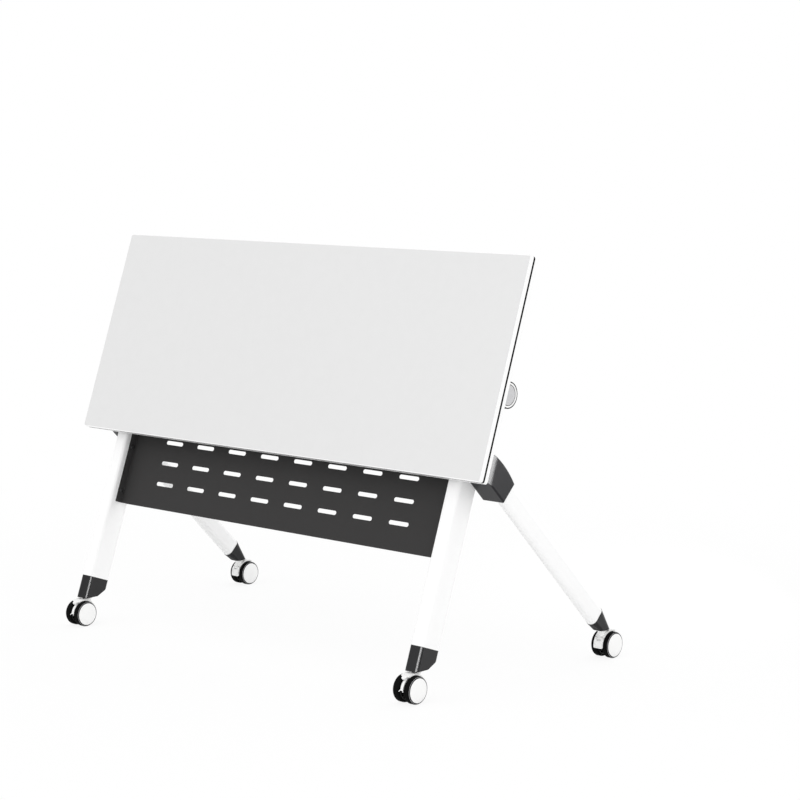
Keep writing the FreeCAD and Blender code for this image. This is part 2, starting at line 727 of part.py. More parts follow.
def round_edges(shape, x, least_length, radius):
    """Rounds the large circular edges that lie in one plane across X."""
    flat = [edge for edge in shape.Edges if edge.BoundBox.XLength < NEAR and edge.Length > least_length]
    return shape.makeFillet(radius, [edge for edge in flat if abs(edge.CenterOfMass.x - x) < NEAR])


def tread():
    """One tyre, for the wheel on +X."""
    outer = wheel_axis_rod(WHEEL_RADIUS, WHEEL_INNER_X, TREAD_OUTER_X)
    outer = round_edges(outer, TREAD_OUTER_X, WHEEL_RADIUS, TREAD_ROUNDING[0])
    outer = round_edges(outer, WHEEL_INNER_X, WHEEL_RADIUS, TREAD_ROUNDING[1])
    bore = wheel_axis_rod(CORE_RADIUS, WHEEL_INNER_X, CAP_SEAT_X)
    seat = wheel_axis_rod(HUB_CAP_RADIUS, CAP_SEAT_X, TREAD_OUTER_X)
    return outer.cut(bore).cut(seat)


def hub():
    """One wheel core with its domed cap, for the wheel on +X."""
    core = wheel_axis_rod(CORE_RADIUS, WHEEL_INNER_X + CORE_RECESS, CAP_SEAT_X)
    cap = wheel_axis_rod(HUB_CAP_RADIUS, CAP_SEAT_X, CASTER_HALF_WIDTH)
    cap = round_edges(cap, CASTER_HALF_WIDTH, HUB_CAP_RADIUS, HUB_CAP_ROUNDING)
    return fused([core, cap]).cut(axle())


def axle():
    """The pin that both wheels are pressed on."""
    return wheel_axis_rod(AXLE_RADIUS, -AXLE_HALF, AXLE_HALF)


def caster_point(x, radius, angle):
    """A point off the axle, at an angle over the wheels counted from the stem's side."""
    turn = math.radians(angle)
    return Vector(x, CASTER_TRAIL - radius * math.cos(turn), WHEEL_RADIUS + radius * math.sin(turn))


def caster_arc(half, radii, span):
    """A ring sector about the axle, with its half width, its radii and its angles."""
    corners = [(-half, radii[0]), (half, radii[0]), (half, radii[1]), (-half, radii[1])]
    points = [caster_point(x, radius, span[0]) for x, radius in corners]
    face = Part.Face(Part.makePolygon(points + points[:1]))
    return face.revolve(Vector(0, CASTER_TRAIL, WHEEL_RADIUS), -X_AXIS, span[1] - span[0])


def trunnion(radius, half):
    """A round bar on the pedal's axis."""
    return rod(caster_point(-half, *TRUNNION), radius, 2 * half, ALONG)


def cowl():
    """The curved cover over the wheels, drawn in at its trailing end."""
    inner, outer = COWL_RADII
    cover = caster_arc(COWL_HALF, COWL_RADII, COWL_SPAN)
    bites = []
    for sign in (-1, 1):
        x = sign * (FIN_HALF + COWL_BITE)
        start = caster_point(x, inner - CUT_MARGIN, COWL_SPAN[1])
        outward = caster_point(x, outer, COWL_SPAN[1]) - start
        bites.append(rod(start, COWL_BITE, outer - inner + 2 * CUT_MARGIN, outward))
    return cover.cut(bites)


def prong(sign):
    """One branch of the fin's forked tail."""
    root = caster_point(sign * PRONG_ROOT[0], *PRONG_ROOT[1:])
    tip = caster_point(sign * PRONG_TIP[0], *PRONG_TIP[1:])
    return rod(root, PRONG_RADIUS, (tip - root).Length, tip - root)


def housing():
    """The body between the wheels: web, cover, trailing fin, the stem's neck and the pedal's trunnions."""
    bore = AXLE_RADIUS + RUNNING_GAP
    web = caster_arc(WEB_HALF, (bore, WEB_RADIUS), WEB_SPAN)
    tongue = caster_arc(WEB_HALF, (TONGUE_LOW, COWL_RADII[1]), TONGUE_SPAN)
    fin = caster_arc(FIN_HALF, (bore, FIN_RADIUS), FIN_SPAN)
    neck = rod((0, 0, NECK_LOW), NECK_RADIUS, HOUSING_TOP - NECK_LOW, UPWARD)
    room = [wheel_axis_rod(WHEEL_ROOM, *x) for x in ((WEB_HALF, TREAD_OUTER_X), (-TREAD_OUTER_X, -WEB_HALF))]
    flange = rod((0, 0, FLANGE_LOW), FLANGE_RADIUS, HOUSING_TOP - FLANGE_LOW, UPWARD)
    rims = [edge for edge in flange.Edges if edge.Closed and edge.BoundBox.ZLength < NEAR]
    flange = flange.makeFillet(FLANGE_ROUNDING, rims)
    pieces = [web, cowl(), tongue, fin, neck.cut(room), flange, trunnion(TRUNNION_RADIUS, TRUNNION_HALF)]
    body = fused(pieces + [prong(sign) for sign in (-1, 1)])
    return body.cut(rod((0, 0, STEM_LOW - STEM_END_GAP), STEM_RADIUS + STEM_GAP, HOUSING_TOP, UPWARD))


def stem():
    """The pin that a caster swivels on, with its collar and the stud above it."""
    pin = rod((0, 0, STEM_LOW), STEM_RADIUS, SOCKET_BOTTOM - STEM_LOW, UPWARD)
    low = HOUSING_TOP + STEM_COLLAR_GAP
    collar = rod((0, 0, low), STEM_COLLAR, SOCKET_BOTTOM - low, UPWARD)
    return fused([pin, collar, stud()])


def stud():
    """The stem's threaded end inside a foot socket."""
    return rod((0, 0, SOCKET_BOTTOM), STUD_RADIUS, STUD_LENGTH, UPWARD)


def pedal():
    """The brake pedal, a curved plate before the wheels that rocks on the trunnions."""
    inner, outer = PEDAL_RADII
    plate = caster_arc(PEDAL_HALF, PEDAL_RADII, PEDAL_SPAN)
    flat = [edge for edge in plate.Edges if edge.BoundBox.XLength < NEAR]
    radial = [edge for edge in flat if abs(edge.Length - (outer - inner)) < NEAR]
    radial.sort(key=lambda edge: edge.CenterOfMass.z)
    plate = plate.makeFillet(PEDAL_CORNER, radial[:2])
    notch_radii = (inner - CUT_MARGIN, outer + CUT_MARGIN)
    notch_span = (PEDAL_NOTCH_START, PEDAL_SPAN[1] + CUT_MARGIN)
    notch = caster_arc(PEDAL_NOTCH_HALF, notch_radii, notch_span)
    recess_radii = (PEDAL_RECESS_RADIUS, outer + CUT_MARGIN)
    recess = caster_arc(PEDAL_RECESS_HALF, recess_radii, PEDAL_RECESS_SPAN)
    return plate.cut([notch, recess, trunnion(TRUNNION_RADIUS + RUNNING_GAP, PEDAL_HALF)])


def at_foot(shape, x, end):
    """Places a caster piece under a foot, with its wheels trailing away from the table's middle."""
    copy = shape.copy()
    if end < 0:
        copy.rotate(ORIGIN, Z_AXIS, 180.0)
    copy.translate(Vector(x, end * STEM_Y, 0))
    return copy


# The nodes
def save_top():
    """The board with its edge, hinges and release gear."""
    board, band, stripe = tabletop()
    wood_screws = both(saddle_screws() + release_screws())
    save("tabletop_board", folded(board.cut(wood_screws)))
    save("edge_band", folded(band))
    save("edge_stripe", folded(stripe))
    drilled_saddle = saddle().cut(saddle_screws() + cap_bolts())
    drilled_cap = saddle_cap().cut(cap_bolts())
    drilled_bracket = lever_bracket().cut(release_screws())
    drilled_spring = leaf_spring().cut(release_screws())
    for side, sign in SIDES:
        save("hinge_saddle_" + side, folded(for_side(drilled_saddle, sign)))
        save("hinge_cap_" + side, folded(for_side(drilled_cap, sign)))
        save("lever_bracket_" + side, folded(for_side(drilled_bracket, sign)))
        save("release_lever_" + side, folded(for_side(lever(), sign)))
        save("leaf_spring_" + side, folded(for_side(drilled_spring, sign)))
    save("hinge_bushes", [folded(one) for one in both([bush()])])
    save("lever_pins", [folded(one) for one in both([lever_pin()])])
    save("wood_screws", [folded(one) for one in wood_screws])
    save("cap_bolts", [folded(one) for one in both(cap_bolts())])


def save_frame():
    """The fixed frame: beam, legs, shoulders, sockets and panel."""
    save("cross_beam", folded(cross_beam()))
    save("modesty_panel", folded(panel().cut(both(panel_bolts()))))
    leg = front_leg().cut(shoulder_bolts() + panel_bolts() + head_screws())
    head = leg_head().cut(head_screws())
    block = shoulder().cut([folded(bolt) for bolt in shoulder_bolts()])
    front_boot = front_socket().cut(at_foot(stud(), FRONT_LEG_X, -1))
    rear_boot = rear_socket().cut(at_foot(stud(), REAR_LEG_X, 1))
    for side, sign in SIDES:
        save("beam_end_cap_" + side, folded(for_side(beam_end_cap(), sign)))
        save("index_collar_" + side, folded(for_side(index_collar(), sign)))
        save("leg_head_" + side, folded(for_side(head, sign)))
        save("front_leg_" + side, folded(for_side(leg, sign)))
        save("rear_leg_" + side, for_side(rear_leg(), sign))
        save("shoulder_" + side, for_side(block, sign))
        save("foot_socket_front_" + side, for_side(front_boot, sign))
        save("foot_socket_rear_" + side, for_side(rear_boot, sign))
    save("head_screws", [folded(one) for one in both(head_screws())])
    save("shoulder_bolts", [folded(one) for one in both(shoulder_bolts())])
    save("panel_bolts", [folded(one) for one in both(panel_bolts())])
    save("fold_bumpers", [folded(one) for one in both([bumper()])])


def save_casters():
    """Four casters of five nodes each, and the four stems as one group."""
    save("caster_stems", [at_foot(stem(), x, end) for name, x, end in CASTERS])
    for name, x, end in CASTERS:
        save("caster_housing_" + name, at_foot(housing(), x, end))
        save("caster_treads_" + name, [at_foot(half, x, end) for half in both([tread()])])
        save("caster_hubs_" + name, [at_foot(half, x, end) for half in both([hub()])])
        save("caster_axle_" + name, at_foot(axle(), x, end))
        save("brake_pedal_" + name, at_foot(pedal(), x, end))


os.makedirs("parts", exist_ok=True)
save_top()
save_frame()
save_casters()
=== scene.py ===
"""A flip-top training table on casters, stored folded, on a plain white studio floor."""
import json
import math

import bmesh
import bpy
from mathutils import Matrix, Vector

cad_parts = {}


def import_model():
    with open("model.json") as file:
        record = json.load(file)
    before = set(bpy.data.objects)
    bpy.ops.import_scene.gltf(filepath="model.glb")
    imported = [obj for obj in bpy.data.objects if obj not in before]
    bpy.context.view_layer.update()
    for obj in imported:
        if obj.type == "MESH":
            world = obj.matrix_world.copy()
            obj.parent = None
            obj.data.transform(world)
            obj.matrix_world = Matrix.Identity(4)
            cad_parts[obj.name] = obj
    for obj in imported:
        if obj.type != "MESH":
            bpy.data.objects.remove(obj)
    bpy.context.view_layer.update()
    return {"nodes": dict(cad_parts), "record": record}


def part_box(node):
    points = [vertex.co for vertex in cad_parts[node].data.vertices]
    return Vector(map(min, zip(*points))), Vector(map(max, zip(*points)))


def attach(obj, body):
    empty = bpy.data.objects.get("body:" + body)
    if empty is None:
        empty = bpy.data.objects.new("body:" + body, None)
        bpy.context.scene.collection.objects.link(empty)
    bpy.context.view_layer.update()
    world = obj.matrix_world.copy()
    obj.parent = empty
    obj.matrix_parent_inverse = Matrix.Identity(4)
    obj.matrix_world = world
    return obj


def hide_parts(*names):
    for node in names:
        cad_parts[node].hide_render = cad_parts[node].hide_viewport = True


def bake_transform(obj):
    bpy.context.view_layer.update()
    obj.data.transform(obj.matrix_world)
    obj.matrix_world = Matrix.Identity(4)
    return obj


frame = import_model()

# Camera, in metres and degrees, as the photograph was taken
CAMERA_PLACE = (3.89965, -3.9975, 1.32625)
CAMERA_AZIMUTH = 42.35
CAMERA_DROP = 7.2
CAMERA_LENS = 99.2
CAMERA_REACH = 100.0
SENSOR = 36.0

# Black parts that have highlights of their own
FRONT_BOOTS = ("foot_socket_front_left", "foot_socket_front_right")
REAR_BOOTS = ("foot_socket_rear_left", "foot_socket_rear_right")
SHOULDERS = ("shoulder_left", "shoulder_right")

# Lamps: name, place, width and height, power, target
LAMPS = (
    ("key", (3.4, -1.6, 2.6), (2.4, 2.4), 18.0, (0.2, 0.0, 0.5)),
    ("front", (-1.4, -4.2, 2.4), (3.0, 3.0), 20.0, (0.0, 0.0, 0.6)),
    ("rear", (0.5, 1.3, 0.5), (0.8, 0.5), 2.5, (-0.65, 0.1, 0.3)),
)

# Softboxes: name, the nodes that they light, place, width and height, power, target
SOFTBOXES = (
    ("front_softbox", FRONT_BOOTS, (3.3, -3.4, 1.75), (3.2, 1.6), 700.0, (0.4, -0.2, 0.4)),
    ("side_softbox", SHOULDERS, (4.4, 0.1, 1.2), (2.4, 1.4), 600.0, (0.6, 0.0, 0.5)),
    ("low_softbox", SHOULDERS, (3.6, 3.2, 0.4), (1.6, 0.8), 21.0, (0.5, 0.0, 0.3)),
    ("floor_softbox", FRONT_BOOTS + REAR_BOOTS, (3.6, 3.2, 0.15), (1.6, 0.25), 100.0, (0.5, 0.0, 0.1)),
)

# Backdrop and floor: the floor shows under the table and fades out between two distances from it
BACKDROP_WHITE = (1.0, 1.0, 1.0, 1.0)
WORLD_FILL = 0.98
FLOOR_SIZE = 60.0
FLOOR_WHITE = 0.92
FLOOR_ROUGH = 0.9
FLOOR_SHOW = 0.12
FADE_START = 1.1
FADE_END = 2.6

# Linear colours of the finishes
LAMINATE_WHITE = (0.72, 0.72, 0.72)
BAND_WHITE = (0.93, 0.93, 0.93)
POWDER_WHITE = (0.93, 0.93, 0.93)
NYLON_WHITE = (0.92, 0.92, 0.915)
SATIN_BLACK = (0.014, 0.014, 0.016)
GLOSS_BLACK = (0.007, 0.007, 0.008)
LINE_BLACK = (0.004, 0.004, 0.004)
CHARCOAL = (0.04, 0.039, 0.039)
TYRE_BLACK = (0.005, 0.005, 0.005)
RUBBER_BLACK = (0.008, 0.008, 0.008)
LEVER_BLACK = (0.02, 0.02, 0.021)
ENAMEL_BLACK = (0.02, 0.02, 0.021)
BUSH_GREY = (0.42, 0.42, 0.43)
STEEL_GREY = (0.58, 0.58, 0.59)
CAP_GREY = (0.58, 0.58, 0.59)

# All finishes: detail of the noises, slow drift over a surface, and how widely an edge is rounded
CLOUD_DETAIL = 3.0
GRAIN_DETAIL = 2.0
DRIFT_SCALE = 7.0
SOFT_EDGE = 0.0006
EDGE_SAMPLES = 8

# Sockets of a Mix node that mixes colours
MIX_FACTOR = 0
MIX_FIRST = 6
MIX_SECOND = 7
MIX_RESULT = 2

# Coated finishes: how far drift and grain change the gloss, and wear along the edges
DRIFT_GLOSS = 0.06
FINE_GLOSS = 0.04
WEAR_REACH = 4
WEAR_SCALE = 90.0
WEAR_GAIN = 3.0
WEAR_POLISH = 0.1
ALONG_X = (0.04, 1.0, 1.0)

# Laminate: mottle and pearl emboss
MOTTLE_SCALE = 38.0
MOTTLE_DETAIL = 4.0
MOTTLE_RELIEF = 0.6
PEARL_SCALE = 620.0
LAMINATE_SPREAD = 0.015
LAMINATE_ROUGH = 0.36
LAMINATE_GLOSS = 0.06
LAMINATE_DEPTH = 0.00004
LAMINATE_EDGE = 0.0004

# Boots: roughness of the faces and of the upright corners, and how fast one goes over into the other
FACE_ROUGH = 0.65
CORNER_ROUGH = 0.28
CORNER_GAIN = 6.0
BOOT_SPREAD = 0.08
BOOT_GLOSS = 0.04
BOOT_GRAIN = 300.0
BOOT_DEPTH = 0.00001
BOOT_EDGE = 0.002

# Turned lines on the beam's end caps
TURNED_PITCH = 0.0011
TURNED_ROUGH = 0.24
TURNED_GRAIN = 400.0
TURNED_SPREAD = 0.06
TURNED_DEPTH = 0.00003
TURNED_EDGE = 0.0004
LINE_GLOSS = 0.04
LINE_RELIEF = 0.5
GRAIN_GLOSS = 0.06
GRAIN_RELIEF = 0.3
OFF_AXIS = (0.0, 1.0, 1.0)

# Beam end caps: radii of the face, the rim and the outer ring of painted shadow, and their drop, depth and
# cut edges
CAP_FACE = 0.0240
CAP_RIM = (0.0250, 0.0295)
CAP_SHADOW_RING = (0.0296, 0.0320)
CAP_FACE_DROP = 0.0006
CAP_DEPTH = 0.0190
CAP_EDGE = 0.0010
SHADE_RING_EDGE = CAP_EDGE / 4
GAP_DROP = CAP_EDGE / 2

# Caster wheels: radii, and places along the axle, which are counted from the middle between two wheels
WHEEL_CAP_RADII = (0.0284, 0.0287)
WHEEL_CAP_X = (0.0224, 0.0258, 0.0262, 0.0270)
WHEEL_CAP_ROUND = 0.0006
DOME_RISE = 0.75
DOME_MIDDLE = 0.5
DOME_FLAT = 0.2
TREAD_ROUND = (0.0210, 0.0280, 0.0050)
# The thin grey ring on each tread's rounded edge is a painted highlight line: where it sits on the
# rounding, its section's radius and its points
HIGHLIGHT_RING_TURN = 40.0
HIGHLIGHT_RING_RADIUS = 0.0004
HIGHLIGHT_RING_POINTS = 8
CORE_BORE = 0.0041
CORE_BOSS = 0.0085
CORE_RIM = (0.0250, 0.0268)
CORE_X = (0.0078, 0.0165, 0.0218)
RIB_COUNT = 10
RIB_WIDTH = 0.0014
RIB_X = (0.0090, 0.0168)

# Fasteners: node, body, and the sizes in the order of their names
SCREW_SIZES = ("Head Radius", "Head Height", "Socket Radius", "Shank Radius", "Shank Length")
FASTENERS = (
    ("wood_screws", "flip_top", 0.0060, 0.0030, 0.0026, 0.0025, 0.0150),
    ("cap_bolts", "flip_top", 0.0055, 0.0040, 0.0027, 0.0030, 0.0240),
    ("head_screws", "frame", 0.0050, 0.0026, 0.0022, 0.0025, 0.0130),
    ("shoulder_bolts", "frame", 0.0070, 0.0040, 0.0033, 0.0040, 0.0600),
    ("panel_bolts", "frame", 0.0055, 0.0033, 0.0026, 0.0030, 0.0110),
)
SIDEWAYS_BOLTS = ("shoulder_bolts", "panel_bolts")
HEAD_TAPER = 0.74
SOCKET_SHARE = 0.6
HEAD_SIDES = 24
SHANK_SIDES = 12
SOCKET_SIDES = 6
AIM = "aim"

# Leaf springs: length of the end that is screwed flat, and the number of lengths that the strip is cut into
SPRING_FLAT = 0.0165
SPRING_CUTS = 16

# Meshes
LATHE_STEPS = 72
SHARP_ANGLE = math.radians(35)
MERGE_DISTANCE = 1e-6

# Names in the frame
FEET = ("front_left", "front_right", "rear_left", "rear_right")
SIDES = {"left": -1, "right": 1}
SLOTS = {part["node"]: part["material_slot"] for part in frame["record"]["subparts"]}
MOUNTS = {mount["name"]: mount for mount in frame["record"]["mounts"]}


# Node maths
class Flow:
    """A node's output that takes part in maths, with numbers on either side."""

    def __init__(self, tree, output):
        self.tree = tree
        self.output = output

    def node(self, kind, settings, sockets, output=0):
        """Adds a node: its settings first, then the value or the links of each socket."""
        made = self.tree.nodes.new(kind)
        for name, value in settings.items():
            setattr(made, name, value)
        for name, value in sockets.items():
            for one in value if isinstance(value, list) else [value]:
                if isinstance(one, Flow):
                    self.tree.links.new(one.output, made.inputs[name])
                else:
                    made.inputs[name].default_value = one
        return Flow(self.tree, made.outputs[output])

    def maths(self, operation, first, second):
        return self.node("ShaderNodeMath", {"operation": operation}, {0: first, 1: second})

    def __add__(self, other):
        return self.maths("ADD", self, other)

    __radd__ = __add__

    def __sub__(self, other):
        return self.maths("SUBTRACT", self, other)

    def __rsub__(self, other):
        return self.maths("SUBTRACT", other, self)

    def __mul__(self, other):
        return self.maths("MULTIPLY", self, other)

    __rmul__ = __mul__

    def __truediv__(self, other):
        return self.maths("DIVIDE", self, other)

    def __rtruediv__(self, other):
        return self.maths("DIVIDE", other, self)


# Finishes
def shade(colour, factor):
    """A colour made lighter or darker, with its alpha."""
    return tuple(channel * factor for channel in colour) + (1.0,)


class Finish:
    """A Principled material under construction, on object coordinates."""

    def __init__(self, name, **constants):
        self.material = bpy.data.materials.new(name)
        self.material.use_nodes = True
        tree = self.material.node_tree
        self.shader = tree.nodes["Principled BSDF"]
        self.place = Flow(tree, tree.nodes.new("ShaderNodeTexCoord").outputs["Object"])
        for socket, value in constants.items():
            self.shader.inputs[socket.replace("_", " ")].default_value = value

    def feed(self, socket, flow):
        self.place.tree.links.new(flow.output, self.shader.inputs[socket])

    def noise(self, scale, detail=CLOUD_DETAIL, stretch=None):
        """Cloudy noise, drawn out along an axis where a stretch is given."""
        place = self.place
        if stretch:
            place = place.node("ShaderNodeMapping", {}, {"Vector": place, "Scale": stretch})
        sockets = {"Vector": place, "Scale": scale, "Detail": detail}
        return self.place.node("ShaderNodeTexNoise", {"noise_dimensions": "3D"}, sockets)

    def between(self, mask, low, high):
        """A colour that goes from one to another as a mask goes from 0 to 1."""
        sockets = {MIX_FACTOR: mask, MIX_FIRST: low, MIX_SECOND: high}
        return self.place.node("ShaderNodeMix", {"data_type": "RGBA"}, sockets, MIX_RESULT)

    def drifting(self, mask, colour, spread):
        """A colour that goes from a little darker to a little lighter with a mask."""
        return self.between(mask, shade(colour, 1 - spread), shade(colour, 1 + spread))

    def soft_edges(self, radius):
        """The surface's direction with its edges rounded."""
        return self.place.node("ShaderNodeBevel", {"samples": EDGE_SAMPLES}, {"Radius": radius})

    def edge_mask(self, radius):
        """1 on the edges and 0 on flat faces."""
        true = self.place.node("ShaderNodeNewGeometry", {}, {}, "Normal")
        sides = {0: self.soft_edges(radius), 1: true}
        return 1.0 - self.place.node("ShaderNodeVectorMath", {"operation": "DOT_PRODUCT"}, sides, "Value")

    def bump(self, height, depth, soft):
        sockets = {"Height": height, "Distance": depth, "Normal": self.soft_edges(soft)}
        self.feed("Normal", self.place.node("ShaderNodeBump", {}, sockets))


def coated(name, colour, rough, grain, depth, spread, soft=SOFT_EDGE, wear=0.0, stretch=None, **constants):
    """A sprayed or moulded surface: fine grain in the bump, slow drift in colour and gloss, worn edges."""
    finish = Finish(name, **constants)
    drift = finish.noise(DRIFT_SCALE)
    fine = finish.noise(grain, GRAIN_DETAIL, stretch)
    tone = finish.drifting(drift, colour, spread)
    gloss = rough - (DRIFT_GLOSS + FINE_GLOSS) / 2 + drift * DRIFT_GLOSS + fine * FINE_GLOSS
    if wear:
        rubbed = finish.edge_mask(WEAR_REACH * soft) * finish.noise(WEAR_SCALE) * WEAR_GAIN
        tone = finish.between(rubbed, tone, shade(colour, 1 + wear))
        gloss = gloss - rubbed * WEAR_POLISH
    finish.feed("Base Color", tone)
    finish.feed("Roughness", gloss)
    finish.bump(fine, depth, soft)
    return finish.material


def laminate(name, colour):
    """Melamine with a fine pearl emboss over a slow mottle."""
    finish = Finish(name)
    mottle = finish.noise(MOTTLE_SCALE, MOTTLE_DETAIL)
    pearl = finish.noise(PEARL_SCALE, GRAIN_DETAIL)
    finish.feed("Base Color", finish.drifting(mottle, colour, LAMINATE_SPREAD))
    finish.feed("Roughness", LAMINATE_ROUGH + mottle * LAMINATE_GLOSS + pearl * LAMINATE_GLOSS)
    finish.bump(pearl + mottle * MOTTLE_RELIEF, LAMINATE_DEPTH, LAMINATE_EDGE)
    return finish.material


def moulded(name, colour, **constants):
    """Moulded black with satin faces and polished upright corners."""
    finish = Finish(name, **constants)
    facing = finish.place.node("ShaderNodeTexCoord", {}, {}, "Normal")
    across = finish.place.node("ShaderNodeSeparateXYZ", {}, {0: facing}, "X")
    along = finish.place.node("ShaderNodeSeparateXYZ", {}, {0: facing}, "Y")
    slant = finish.place.node("ShaderNodeMath", {"operation": "ABSOLUTE"}, {0: across * along})
    corner = slant.maths("MINIMUM", slant * CORNER_GAIN, 1.0)
    drift = finish.noise(DRIFT_SCALE)
    finish.feed("Base Color", finish.drifting(drift, colour, BOOT_SPREAD))
    finish.feed("Roughness", FACE_ROUGH + corner * (CORNER_ROUGH - FACE_ROUGH) + drift * BOOT_GLOSS)
    finish.bump(finish.noise(BOOT_GRAIN, GRAIN_DETAIL), BOOT_DEPTH, BOOT_EDGE)
    return finish.material


def turned(name, colour, centre, **constants):
    """Satin metal with fine turned rings about the cross beam's axis."""
    finish = Finish(name, **constants)
    place = finish.place
    moved = place.node("ShaderNodeVectorMath", {"operation": "SUBTRACT"}, {0: place, 1: centre})
    flat = place.node("ShaderNodeVectorMath", {"operation": "MULTIPLY"}, {0: moved, 1: OFF_AXIS})
    radius = place.node("ShaderNodeVectorMath", {"operation": "LENGTH"}, {0: flat}, "Value")
    wave = place.node("ShaderNodeMath", {"operation": "SINE"}, {0: radius * (math.tau / TURNED_PITCH)})
    grain = finish.noise(TURNED_GRAIN)
    finish.feed("Base Color", finish.drifting(grain, colour, TURNED_SPREAD))
    finish.feed("Roughness", TURNED_ROUGH + wave * LINE_GLOSS + grain * GRAIN_GLOSS)
    finish.bump(wave * LINE_RELIEF + grain * GRAIN_RELIEF, TURNED_DEPTH, TURNED_EDGE)
    return finish.material


def middle_of(node):
    """The middle of a node's box."""
    low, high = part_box(node)
    return (low + high) / 2


BEAM_CENTRE = middle_of("cross_beam")
COATS = {
    "white_edge": dict(
        colour=BAND_WHITE, rough=0.34, grain=500.0, depth=0.00003, spread=0.008, stretch=ALONG_X
    ),
    "black_line": dict(
        colour=LINE_BLACK, rough=0.6, grain=900.0, depth=0.00003, spread=0.1, Specular_IOR_Level=0.03
    ),
    "white_powder_coat": dict(
        colour=POWDER_WHITE, rough=0.38, grain=420.0, depth=0.00003, spread=0.006, Specular_IOR_Level=0.25
    ),
    "black_casting": dict(
        colour=SATIN_BLACK, rough=0.3, grain=800.0, depth=0.00003, spread=0.08, soft=0.0008, wear=1.2,
        Specular_IOR_Level=0.16,
    ),
    "charcoal_sheet": dict(
        colour=CHARCOAL, rough=0.6, grain=700.0, depth=0.0001, spread=0.05, Specular_IOR_Level=0.1
    ),
    "tyre_rubber": dict(
        colour=TYRE_BLACK, rough=0.6, grain=600.0, depth=0.00004, spread=0.15, Specular_IOR_Level=0.02
    ),
    "white_nylon": dict(
        colour=NYLON_WHITE, rough=0.22, grain=300.0, depth=0.00002, spread=0.006, soft=0.0005
    ),
    "bright_steel": dict(
        colour=STEEL_GREY, rough=0.3, grain=700.0, depth=0.00002, spread=0.06, soft=0.0003, Metallic=1.0
    ),
    "grey_nylon": dict(
        colour=BUSH_GREY, rough=0.45, grain=500.0, depth=0.00003, spread=0.03
    ),
    "black_rubber": dict(
        colour=RUBBER_BLACK, rough=0.6, grain=700.0, depth=0.00005, spread=0.1, Specular_IOR_Level=0.05
    ),
    "black_lever": dict(
        colour=LEVER_BLACK, rough=0.45, grain=900.0, depth=0.00008, spread=0.08, soft=0.0008, wear=0.8
    ),
    "zinc_plate": dict(
        colour=ENAMEL_BLACK, rough=0.4, grain=700.0, depth=0.00004, spread=0.1, soft=0.0005, wear=0.6
    ),
}
FINISHES = {name: coated(name, **settings) for name, settings in COATS.items()}
FINISHES["white_laminate"] = laminate("white_laminate", LAMINATE_WHITE)
FINISHES["black_boot"] = moulded("black_boot", GLOSS_BLACK, Specular_IOR_Level=0.22)
FINISHES["cap_silver"] = turned("cap_silver", CAP_GREY, BEAM_CENTRE, Specular_IOR_Level=0.2)


def paint_nodes():
    """Gives every node of the frame the finish of its slot."""
    for node, slot in SLOTS.items():
        materials = frame["nodes"][node].data.materials
        materials.clear()
        materials.append(FINISHES[slot])


# Pieces
def piece(name, mesh, body, slot, nodes=(), bend=None):
    """A finished piece on its body, with the finish of its slot, in place of the nodes that it stands for.

    A piece given a bend is left where it stands, on no body; what the bend holds is not used."""
    made = bpy.data.objects.new(name, mesh)
    bpy.context.scene.collection.objects.link(made)
    if not mesh.materials:
        mesh.materials.append(FINISHES[slot])
    if bend:
        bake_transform(made)
    else:
        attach(made, body)
    if nodes:
        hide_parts(*nodes)


def turns(count):
    """Angles that are spread evenly over a full turn."""
    return [math.tau * step / count for step in range(count)]


def add_lathe(shape, centre, sign, profile):
    """Adds a closed ring to a mesh, turned about X: the profile is (distance along X, radius) pairs."""
    rings = []
    for along, radius in profile:
        x = centre.x + sign * along
        if radius == 0:
            rings.append([shape.verts.new((x, centre.y, centre.z))] * LATHE_STEPS)
            continue
        ring = []
        for turn in turns(LATHE_STEPS):
            spot = (x, centre.y + radius * math.cos(turn), centre.z + radius * math.sin(turn))
            ring.append(shape.verts.new(spot))
        rings.append(ring)
    meets_axis = profile[0][1] == 0 and profile[-1][1] == 0
    following = rings[1:] if meets_axis else rings[1:] + rings[:1]
    for first, second in zip(rings, following):
        for step in range(LATHE_STEPS):
            after = (step + 1) % LATHE_STEPS
            corners = [first[step], first[after], second[after], second[step]]
            # On the axis two corners are one point, which the face holds once
            shape.faces.new(list(dict.fromkeys(corners)))


def lathed(name, rings):
    """One mesh of several turned rings, each given as (centre, sign, profile)."""
    shape = bmesh.new()
    for centre, sign, profile in rings:
        add_lathe(shape, centre, sign, profile)
    bmesh.ops.recalc_face_normals(shape, faces=shape.faces)
    mesh = bpy.data.meshes.new(name)
    shape.to_mesh(mesh)
    shape.free()
    for face in mesh.polygons:
        face.use_smooth = True
    mesh.set_sharp_from_angle(angle=SHARP_ANGLE)
    return mesh


def ring_profile(radii, low, high, edge):
    """A ring of rectangular section whose outside corners are cut off."""
    inner, outer = radii
    inside = [(low, inner), (high - edge, inner), (high, inner + edge)]
    return inside + [(high, outer - edge), (high - edge, outer), (low, outer)]


